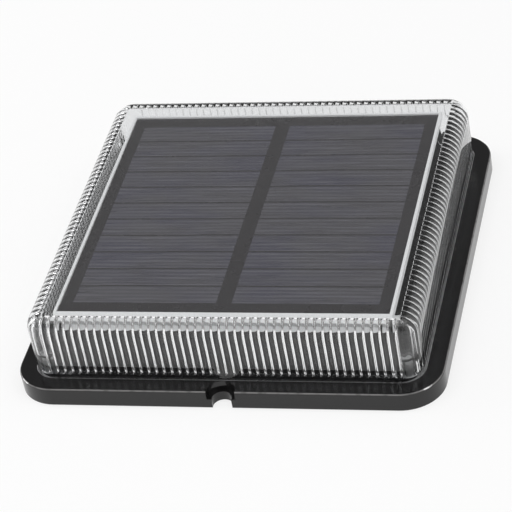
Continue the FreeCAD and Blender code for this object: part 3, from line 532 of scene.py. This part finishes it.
clear = {"colour": (0.97, 0.975, 0.98, 1), "roughness": 0.004, "hazeSpread": 0.02, "hazeScale": 700.0,
         "flowScale": 60, "flowStretch": (1, 1, 0.4), "flowDepth": 0.003,
         "letThrough": (0.95, 0.955, 0.96, 1)}


def makeClearPlastic():
    # light for the inner parts passes straight through; what the eye sees is bent and mirrored
    material, tree, shader, place = newMaterial("clearPlastic", Base_Color=clear["colour"], IOR=1.5,
                                                Transmission_Weight=1.0)
    flow = noise(tree, stretched(tree, place, clear["flowStretch"]), clear["flowScale"], 2.0)
    haze = noise(tree, place, clear["hazeScale"], 3.0)
    gloss = remap(tree, haze, 0.3, 0.75, clear["roughness"], clear["roughness"] + clear["hazeSpread"])
    tree.links.new(gloss, shader.inputs["Roughness"])
    addBump(tree, shader, flow, 1.0, clear["flowDepth"])
    path = addNode(tree, "LightPath").outputs
    through = maths(tree, "MAXIMUM", path["Is Shadow Ray"], path["Is Diffuse Ray"])
    straight = addNode(tree, "BsdfTransparent", {"Color": clear["letThrough"]})
    mix = addNode(tree, "MixShader", {0: through, 1: shader.outputs[0], 2: straight.outputs[0]})
    tree.links.new(mix.outputs[0], tree.nodes["Material Output"].inputs["Surface"])
    return material


def squareReach(tree, place):
    # how far out a point is, as half the side of the square that it lies on, and its height
    x, y, z = splitPlace(tree, place)
    return maths(tree, "MAXIMUM", maths(tree, "ABSOLUTE", x), maths(tree, "ABSOLUTE", y)), z


housing = {"light": (0.0085, 0.0082, 0.0085, 1), "dark": (0.006, 0.0058, 0.0059, 1), "roughness": 0.13,
           "glossSpread": 0.10, "grain": 3500, "flow": 70, "edge": (0.15, 0.147, 0.145, 1),
           "grooveGlint": (0.75, 0.74, 0.74, 1), "flange": 5.2, "edgeDepth": 0.28, "edgeOver": 0.1,
           "edgeSoft": 0.06, "slopeFrom": 0.2, "slopeTo": 0.93, "slopeSoft": 0.05, "glintScale": 400.0,
           "grooveInside": 55}


def makeBlackPlastic():
    # semi-gloss black, with a painted glint along the rounded upper edges of the flange and of the cover's
    # groove
    material, tree, shader, place = newMaterial("blackPlastic")
    skin = useSkin(tree, place, housing)
    reach, z = squareReach(tree, place)
    slope = splitPlace(tree, addNode(tree, "NewGeometry").outputs["Normal"])["Z"]
    rounded = band(tree, slope, housing["slopeFrom"], housing["slopeTo"], housing["slopeSoft"])
    height = band(tree, z, (housing["flange"] - housing["edgeDepth"]) * mm,
                  (housing["flange"] + housing["edgeOver"]) * mm, housing["edgeSoft"] * mm)
    # painted highlight: the rounded upper edges are painted paler in patches, nearly white along the
    # cover's groove
    glintPatches = remap(tree, noise(tree, place, housing["glintScale"], 3.0), 0.2, 0.5)
    edge = product(tree, rounded, height, glintPatches)
    inner = maths(tree, "LESS_THAN", reach, housing["grooveInside"] * mm)
    glintColour = mixColour(tree, inner, housing["edge"], housing["grooveGlint"])
    linkTo(tree, shader, mixColour(tree, edge, skin["Colour"], glintColour), skin["Roughness"])
    addBump(tree, shader, skin["Height"], 0.10, 0.02)
    return material


tray = {"light": grey(0.88), "dark": grey(0.84), "recessShade": (0.33, 0.33, 0.335, 1), "grain": 3000, "flow": 90,
        "roughness": 0.38, "glossSpread": 0.15, "recessTop": 18.75, "recessFoot": 16.2, "recessSoft": 0.25,
        "skirt": 42.0, "shadeScale": 250.0, "shadeLeast": 0.75}


def makeWhitePlastic():
    # satin white, with painted shade in the recess under the lip, made uneven by a noise
    material, tree, shader, place = newMaterial("whitePlastic")
    skin = useSkin(tree, place, tray)
    reach, z = squareReach(tree, place)
    recess = band(tree, z, tray["recessFoot"] * mm, tray["recessTop"] * mm, tray["recessSoft"] * mm)
    outside = maths(tree, "GREATER_THAN", reach, tray["skirt"] * mm)
    uneven = remap(tree, noise(tree, place, tray["shadeScale"], 3.0), 0.2, 0.7, tray["shadeLeast"])
    # painted shade: a grey laid over the band below the lip on the outside, where the lip shades the skirt
    paintedShade = product(tree, recess, outside, uneven)
    linkTo(tree, shader, mixColour(tree, paintedShade, skin["Colour"], tray["recessShade"]), skin["Roughness"])
    addBump(tree, shader, skin["Height"], 0.15, 0.03)
    return material


cell = {"rows": 11, "pitch": 7.37, "fingers": 5, "fingerWidth": 0.34, "fingerWander": 0.5,
        "base": (0.070, 0.068, 0.088, 1), "grey": (0.080, 0.077, 0.084, 1),
        "finger": (0.128, 0.125, 0.142, 1), "wanderStretch": (1, 12, 1), "wanderScale": 55.0,
        "streakStretch": (0.25, 5, 1), "streakScale": 260.0,
        "cloudStretch": (0.6, 1.3, 1), "cloudScale": 70.0, "cloudFrom": 0.4, "cloudTo": 0.62,
        "roughness": 0.3, "glossSpread": 0.08, "above": 20}


def makeSolarCell():
    # crystalline grey-blue with fine printed fingers along each cell, and cloudy patches;
    # "above" whole rows are added so that the count of rows is positive all over the panel
    material, tree, shader, place = newMaterial("solarCell")
    y = splitPlace(tree, place)["Y"]
    first = cell["rows"] / 2 + cell["above"]
    rows = maths(tree, "ADD", maths(tree, "DIVIDE", y, cell["pitch"] * mm), first)
    wander = noise(tree, stretched(tree, place, cell["wanderStretch"]), cell["wanderScale"], 3.0)
    lines = maths(tree, "FRACT", maths(tree, "ADD", product(tree, rows, cell["fingers"]),
                                       product(tree, wander, cell["fingerWander"])))
    away = maths(tree, "ABSOLUTE", maths(tree, "SUBTRACT", lines, 0.5))
    finger = remap(tree, away, cell["fingerWidth"] / 2, cell["fingerWidth"], 1.0, 0.0)
    streak = noise(tree, stretched(tree, place, cell["streakStretch"]), cell["streakScale"], 4.0)
    cloud = noise(tree, stretched(tree, place, cell["cloudStretch"]), cell["cloudScale"], 3.0)
    clouded = remap(tree, cloud, cell["cloudFrom"], cell["cloudTo"])
    colour = mixColour(tree, clouded, cell["grey"], cell["base"])
    shown = product(tree, finger, remap(tree, streak, 0.35, 0.7))
    gloss = remap(tree, streak, 0.2, 0.8, cell["roughness"] - cell["glossSpread"],
                  cell["roughness"] + cell["glossSpread"])
    linkTo(tree, shader, mixColour(tree, shown, colour, cell["finger"]), gloss)
    addBump(tree, shader, shown, 0.3, 0.02)
    return material


# ---- the finishes of the inner parts

sleeve = {"light": (0.13, 0.34, 0.21, 1), "dark": (0.10, 0.28, 0.17, 1), "grain": 1500, "flow": 160,
          "roughness": 0.28, "can": (0.62, 0.61, 0.58, 1), "from": -24.85, "to": 23.7, "soft": 0.05,
          "crimpStretch": (0.3, 1, 1), "crimpScale": 600.0}


def makeCellSleeve():
    # the cell's shrink sleeve, drawn tight over the can's shoulders, with bare metal at both ends
    material, tree, shader, place = newMaterial("cellSleeve", Coat_Weight=0.3)
    x = splitPlace(tree, place)["X"]
    skin = useSkin(tree, place, sleeve)
    covered = band(tree, x, sleeve["from"] * mm, sleeve["to"] * mm, sleeve["soft"] * mm)
    crimp = noise(tree, stretched(tree, place, sleeve["crimpStretch"]), sleeve["crimpScale"], 2.0)
    linkTo(tree, shader, mixColour(tree, covered, sleeve["can"], skin["Colour"]), skin["Roughness"])
    tree.links.new(maths(tree, "SUBTRACT", 1.0, covered), shader.inputs["Metallic"])
    addBump(tree, shader, crimp, 0.3, 0.08)
    return material


boards = {"trackScale": 260, "weaveScale": 2500.0, "weaveShare": 0.35, "weave": (0.01, 0.02, 0.01, 1),
          "glossLow": 0.3, "glossHigh": 0.45,
          "circuit": (0.025, 0.16, 0.06, 1), "circuitTrack": (0.05, 0.26, 0.10, 1),
          "lamp": (0.02, 0.02, 0.021, 1), "lampTrack": (0.05, 0.05, 0.048, 1)}


def makeBoard(name, mask, maskOnTrack):
    # solder mask, a little lighter and raised over the tracks
    material, tree, shader, place = newMaterial(name, Coat_Weight=0.4, Coat_Roughness=0.15)
    track = useGroup(tree, boardTracks, place, {"Track Scale": boards["trackScale"]})["Mask"]
    weave = noise(tree, place, boards["weaveScale"], 2.0)
    base = mixColour(tree, track, mask, maskOnTrack)
    colour = mixColour(tree, product(tree, weave, boards["weaveShare"]), base, boards["weave"])
    linkTo(tree, shader, colour, remap(tree, weave, 0.2, 0.8, boards["glossLow"], boards["glossHigh"]))
    addBump(tree, shader, track, 0.4, 0.03)
    return material


lamp = {"along": 20.0, "height": 11.8, "window": 1.12, "soft": 0.04, "sideFrom": 30,
        "phosphorDark": (0.80, 0.62, 0.16, 1), "phosphorLight": (0.90, 0.78, 0.34, 1),
        "packageDark": (0.80, 0.79, 0.74, 1), "packageLight": (0.88, 0.87, 0.83, 1),
        "grains": 5000.0, "packageRoughness": 0.45, "windowRoughness": 0.2}


def makeLampPackage():
    # white package with a round phosphor window; a lamp's own middle is found from either axis
    material, tree, shader, place = newMaterial("lampPackage")
    x, y, z = splitPlace(tree, place)
    side = maths(tree, "GREATER_THAN", maths(tree, "ABSOLUTE", x), lamp["sideFrom"] * mm)
    along = maths(tree, "ADD", product(tree, side, y), product(tree, maths(tree, "SUBTRACT", 1.0, side), x))
    across = maths(tree, "SUBTRACT", maths(tree, "ABSOLUTE", along), lamp["along"] * mm)
    up = maths(tree, "SUBTRACT", z, lamp["height"] * mm)
    window = remap(tree, distance(tree, across, up), (lamp["window"] - lamp["soft"]) * mm,
                   (lamp["window"] + lamp["soft"]) * mm, 1.0, 0.0)
    grains = noise(tree, place, lamp["grains"], 3.0)
    phosphor = mixColour(tree, grains, lamp["phosphorDark"], lamp["phosphorLight"])
    package = mixColour(tree, grains, lamp["packageDark"], lamp["packageLight"])
    linkTo(tree, shader, mixColour(tree, window, package, phosphor),
           remap(tree, window, 0.0, 1.0, lamp["packageRoughness"], lamp["windowRoughness"]))
    addBump(tree, shader, grains, 0.15, 0.02)
    return material


coil = {"light": (0.075, 0.07, 0.07, 1), "dark": (0.045, 0.043, 0.043, 1), "grain": 5000, "flow": 300,
        "roughness": 0.6, "low": 11.5, "high": 14.3, "soft": 0.03, "wire": 0.35, "wireGloss": 0.3,
        "copperDark": (0.55, 0.22, 0.09, 1), "copperLight": (0.72, 0.33, 0.14, 1)}


def makeFerrite():
    # dark bobbin with its enamelled winding between the flanges
    material, tree, shader, place = newMaterial("ferrite")
    z = splitPlace(tree, place)["Z"]
    skin = useSkin(tree, place, coil)
    winding = band(tree, z, coil["low"] * mm, coil["high"] * mm, coil["soft"] * mm)
    turns = maths(tree, "SINE", product(tree, z, 2 * math.pi / (coil["wire"] * mm)))
    wire = mixColour(tree, product(tree, turns, 0.5), coil["copperDark"], coil["copperLight"])
    linkTo(tree, shader, mixColour(tree, winding, skin["Colour"], wire),
           maths(tree, "SUBTRACT", skin["Roughness"], product(tree, winding, coil["wireGloss"])))
    tree.links.new(winding, shader.inputs["Metallic"])
    addBump(tree, shader, product(tree, turns, winding), 0.6, 0.1)
    return material


canister = {"light": (0.06, 0.06, 0.10, 1), "dark": (0.045, 0.045, 0.08, 1), "grain": 2500, "flow": 200,
            "roughness": 0.35, "x": 10.75, "y": -22.0, "bareFrom": 15.4, "sleeveEdge": 2.15,
            "stripeFrom": 2.0, "stripe": (0.55, 0.56, 0.58, 1), "bare": (0.72, 0.72, 0.73, 1),
            "scoreWidth": 0.12, "score": (0.25, 0.25, 0.26, 1)}


def makeCapacitorSleeve():
    # dark sleeve with a pale stripe down one side, and the aluminium top with its scored cross
    material, tree, shader, place = newMaterial("capacitorSleeve", Coat_Weight=0.3)
    x, y, z = splitPlace(tree, place)
    dx = maths(tree, "SUBTRACT", x, canister["x"] * mm)
    dy = maths(tree, "SUBTRACT", y, canister["y"] * mm)
    top = product(tree, maths(tree, "GREATER_THAN", z, canister["bareFrom"] * mm),
                  maths(tree, "LESS_THAN", distance(tree, dx, dy), canister["sleeveEdge"] * mm))
    stripe = maths(tree, "GREATER_THAN", product(tree, dx, -1.0), canister["stripeFrom"] * mm)
    skin = useSkin(tree, place, canister)
    wrapped = mixColour(tree, stripe, skin["Colour"], canister["stripe"])
    nearer = maths(tree, "MINIMUM", maths(tree, "ABSOLUTE", dx), maths(tree, "ABSOLUTE", dy))
    cut = maths(tree, "LESS_THAN", nearer, canister["scoreWidth"] * mm)
    bare = mixColour(tree, cut, canister["bare"], canister["score"])
    linkTo(tree, shader, mixColour(tree, top, wrapped, bare), skin["Roughness"])
    tree.links.new(top, shader.inputs["Metallic"])
    addBump(tree, shader, skin["Height"], 0.15, 0.04)
    return material


foam = {"poreScale": 2200.0, "cloudScale": 300.0, "pore": (0.05, 0.05, 0.052, 1), "wall": grey(0.13),
        "smoothest": 0.8}


def makeFoam():
    # closed cells: dark pores between paler walls
    material, tree, shader, place = newMaterial("foamTape")
    pores = addNode(tree, "TexVoronoi", {"Vector": place, "Scale": foam["poreScale"]}).outputs["Distance"]
    cloud = noise(tree, place, foam["cloudScale"], 3.0)
    linkTo(tree, shader, mixColour(tree, pores, foam["pore"], foam["wall"]),
           remap(tree, cloud, 0.0, 1.0, foam["smoothest"]))
    addBump(tree, shader, pores, 0.7, 0.15)
    return material


skins = {
    "panel_laminate": ("panelLaminate", {
        "light": (0.042, 0.0395, 0.0415, 1), "dark": (0.035, 0.0325, 0.0345, 1), "grain": 1800, "flow": 110,
        "roughness": 0.28, "glossSpread": 0.12, "bump": 0.10, "depth": 0.02}),
    "grey_silicone": ("greySilicone", {
        "light": grey(0.20), "dark": grey(0.16), "grain": 2600, "flow": 120, "roughness": 0.6,
        "bump": 0.3, "depth": 0.05}),
    "button_rubber": ("buttonRubber", {
        "light": grey(0.055), "dark": grey(0.035), "grain": 2400, "flow": 200, "roughness": 0.65,
        "bump": 0.5, "depth": 0.06}),
    "chip_black": ("chipBlack", {
        "light": grey(0.04), "dark": grey(0.025), "grain": 6000, "flow": 400, "roughness": 0.55,
        "bump": 0.4, "depth": 0.03}),
    "lead_red": ("leadRed", {
        "light": (0.52, 0.045, 0.03, 1), "dark": (0.42, 0.03, 0.022, 1), "grain": 2500, "flow": 250,
        "roughness": 0.35, "bump": 0.15, "depth": 0.03}),
    "lead_black": ("leadBlack", {
        "light": grey(0.035), "dark": grey(0.022), "grain": 2500, "flow": 250, "roughness": 0.35,
        "bump": 0.15, "depth": 0.03}),
}
metals = {
    "screw_steel": ("screwSteel", {
        "Light": (0.66, 0.66, 0.65, 1), "Dark": (0.46, 0.46, 0.46, 1), "Stretch": (1, 1, 6),
        "Roughness": 0.3}),
    "contact_metal": ("contactMetal", {
        "Light": (0.78, 0.76, 0.70, 1), "Dark": (0.60, 0.58, 0.53, 1), "Stretch": (1, 12, 1),
        "Roughness": 0.28}),
}
finishes = {
    "black_plastic": makeBlackPlastic(),
    "white_plastic": makeWhitePlastic(),
    "clear_plastic": makeClearPlastic(),
    "solar_cell": makeSolarCell(),
    "cell_sleeve": makeCellSleeve(),
    "circuit_board": makeBoard("circuitBoard", boards["circuit"], boards["circuitTrack"]),
    "lamp_board": makeBoard("lampBoard", boards["lamp"], boards["lampTrack"]),
    "led_package": makeLampPackage(),
    "ferrite": makeFerrite(),
    "capacitor_sleeve": makeCapacitorSleeve(),
    "foam_tape": makeFoam(),
}
for slot, (name, values) in skins.items():
    finishes[slot] = skinMaterial(name, values)
for slot, (name, values) in metals.items():
    finishes[slot] = metalMaterial(name, values)

slots = {entry["node"]: entry["material_slot"] for entry in frame["record"]["subparts"]}
for name, node in nodes.items():
    node.data.materials.clear()
    node.data.materials.append(finishes[slots[name]])
clearCover.data.materials.clear()
clearCover.data.materials.append(finishes["clear_plastic"])
print("materials:", len(finishes), "finishes on", len(nodes), "nodes and the cover")


# ---- floor, light and camera

studio = {
    "floor": (0.9, 0.9, 0.9, 1), "floorShown": 0.75, "floorSize": 8, "floorHeight": -0.0002,
    "sideLight": 1.0, "topLight": 0.22, "sideUpTo": 0.30, "topFrom": 0.55,
    "backLight": 0.2, "frontUpTo": -0.1, "backFrom": 0.35,
    "rightLight": 0.85, "rightFrom": (0.3, 0.6), "rightUpTo": (0.75, 0.92),
    "overhead": {"size": (3.0, 1.3), "place": (0, -0.3, 1.4), "aim": (0, -0.3, 0.01), "power": 20,
                 "throughGlass": False},
    "leftSide": {"size": (0.5, 0.4), "place": (-0.95, 0.1, 0.28), "aim": (0, 0, 0.01), "power": 3,
                 "throughGlass": True},
    "sensor": 36, "lens": 165.55,
    "cameraPlace": (0.162724, -0.498709, 0.392421), "cameraTurn": (0.92655, 0.15482, 0.20395),
}


def seenRays(tree):
    # 1 for what the camera sees, also in a mirror or through the clear cover
    path = addNode(tree, "LightPath").outputs
    return maths(tree, "MAXIMUM", maths(tree, "MAXIMUM", path["Is Camera Ray"], path["Is Glossy Ray"]),
                 path["Is Transmission Ray"])


def makeFloor():
    # the shown floor is part its lit surface, with the shadow, and part plain white; it is clear from
    # below, so that it doesn't hide the underside
    deselectAll()
    bpy.ops.mesh.primitive_plane_add(size=studio["floorSize"], location=(0, 0, studio["floorHeight"]))
    floor = newPiece("floor")
    material = bpy.data.materials.new("paleFloor")
    material.use_nodes = True
    tree = material.node_tree
    shader = tree.nodes["Principled BSDF"]
    shader.inputs["Base Color"].default_value = studio["floor"]
    shader.inputs["Roughness"].default_value = 1.0
    shader.inputs["Specular IOR Level"].default_value = 0.0
    white = addNode(tree, "Emission", {"Color": (1, 1, 1, 1), "Strength": 1.0})
    share = product(tree, seenRays(tree), studio["floorShown"])
    shown = addNode(tree, "MixShader", {0: share, 1: shader.outputs[0], 2: white.outputs[0]})
    below = addNode(tree, "NewGeometry").outputs["Backfacing"]
    nothing = addNode(tree, "BsdfTransparent")
    mix = addNode(tree, "MixShader", {0: below, 1: shown.outputs[0], 2: nothing.outputs[0]})
    tree.links.new(mix.outputs[0], tree.nodes["Material Output"].inputs["Surface"])
    floor.data.materials.append(material)


def makeWorld():
    # white walls in front and at the sides, the right one higher, a grey one behind and a grey ceiling
    world = bpy.data.worlds.new("studio")
    bpy.context.scene.world = world
    world.use_nodes = True
    tree = world.node_tree
    x, y, z = splitPlace(tree, addNode(tree, "TexCoord").outputs["Generated"])
    shade = remap(tree, z, studio["sideUpTo"], studio["topFrom"], studio["sideLight"], studio["topLight"])
    behind = remap(tree, y, studio["frontUpTo"], studio["backFrom"])
    shade = addNode(tree, "Mix", {0: behind, 2: shade, 3: studio["backLight"]}).outputs[0]
    right = remap(tree, x, *studio["rightFrom"])
    under = remap(tree, z, *studio["rightUpTo"], 1.0, 0.0)
    shade = maths(tree, "MAXIMUM", shade, product(tree, right, under, studio["rightLight"]))
    background = tree.nodes["Background"]
    tree.links.new(shade, background.inputs["Strength"])
    background.inputs["Color"].default_value = (1, 1, 1, 1)


def makeLamp(name):
    # a soft panel that faces its aim
    values = studio[name]
    data = bpy.data.lights.new(name + "Lamp", "AREA")
    data.shape = "RECTANGLE"
    data.size, data.size_y = values["size"]
    data.energy = values["power"]
    piece = bpy.data.objects.new(name + "Lamp", data)
    bpy.context.scene.collection.objects.link(piece)
    piece.location = values["place"]
    away = Vector(values["place"]) - Vector(values["aim"])
    piece.rotation_euler = away.to_track_quat("Z", "Y").to_euler()
    piece.visible_transmission = values["throughGlass"]


def makeCamera():
    data = bpy.data.cameras.new("camera")
    data.sensor_width = studio["sensor"]
    data.lens = studio["lens"]
    camera = bpy.data.objects.new("camera", data)
    bpy.context.scene.collection.objects.link(camera)
    camera.location = studio["cameraPlace"]
    camera.rotation_euler = studio["cameraTurn"]
    bpy.context.scene.camera = camera


makeFloor()
makeWorld()
makeLamp("overhead")
makeLamp("leftSide")
makeCamera()
bpy.context.scene.view_settings.view_transform = "Standard"
print("floor, light and camera placed")
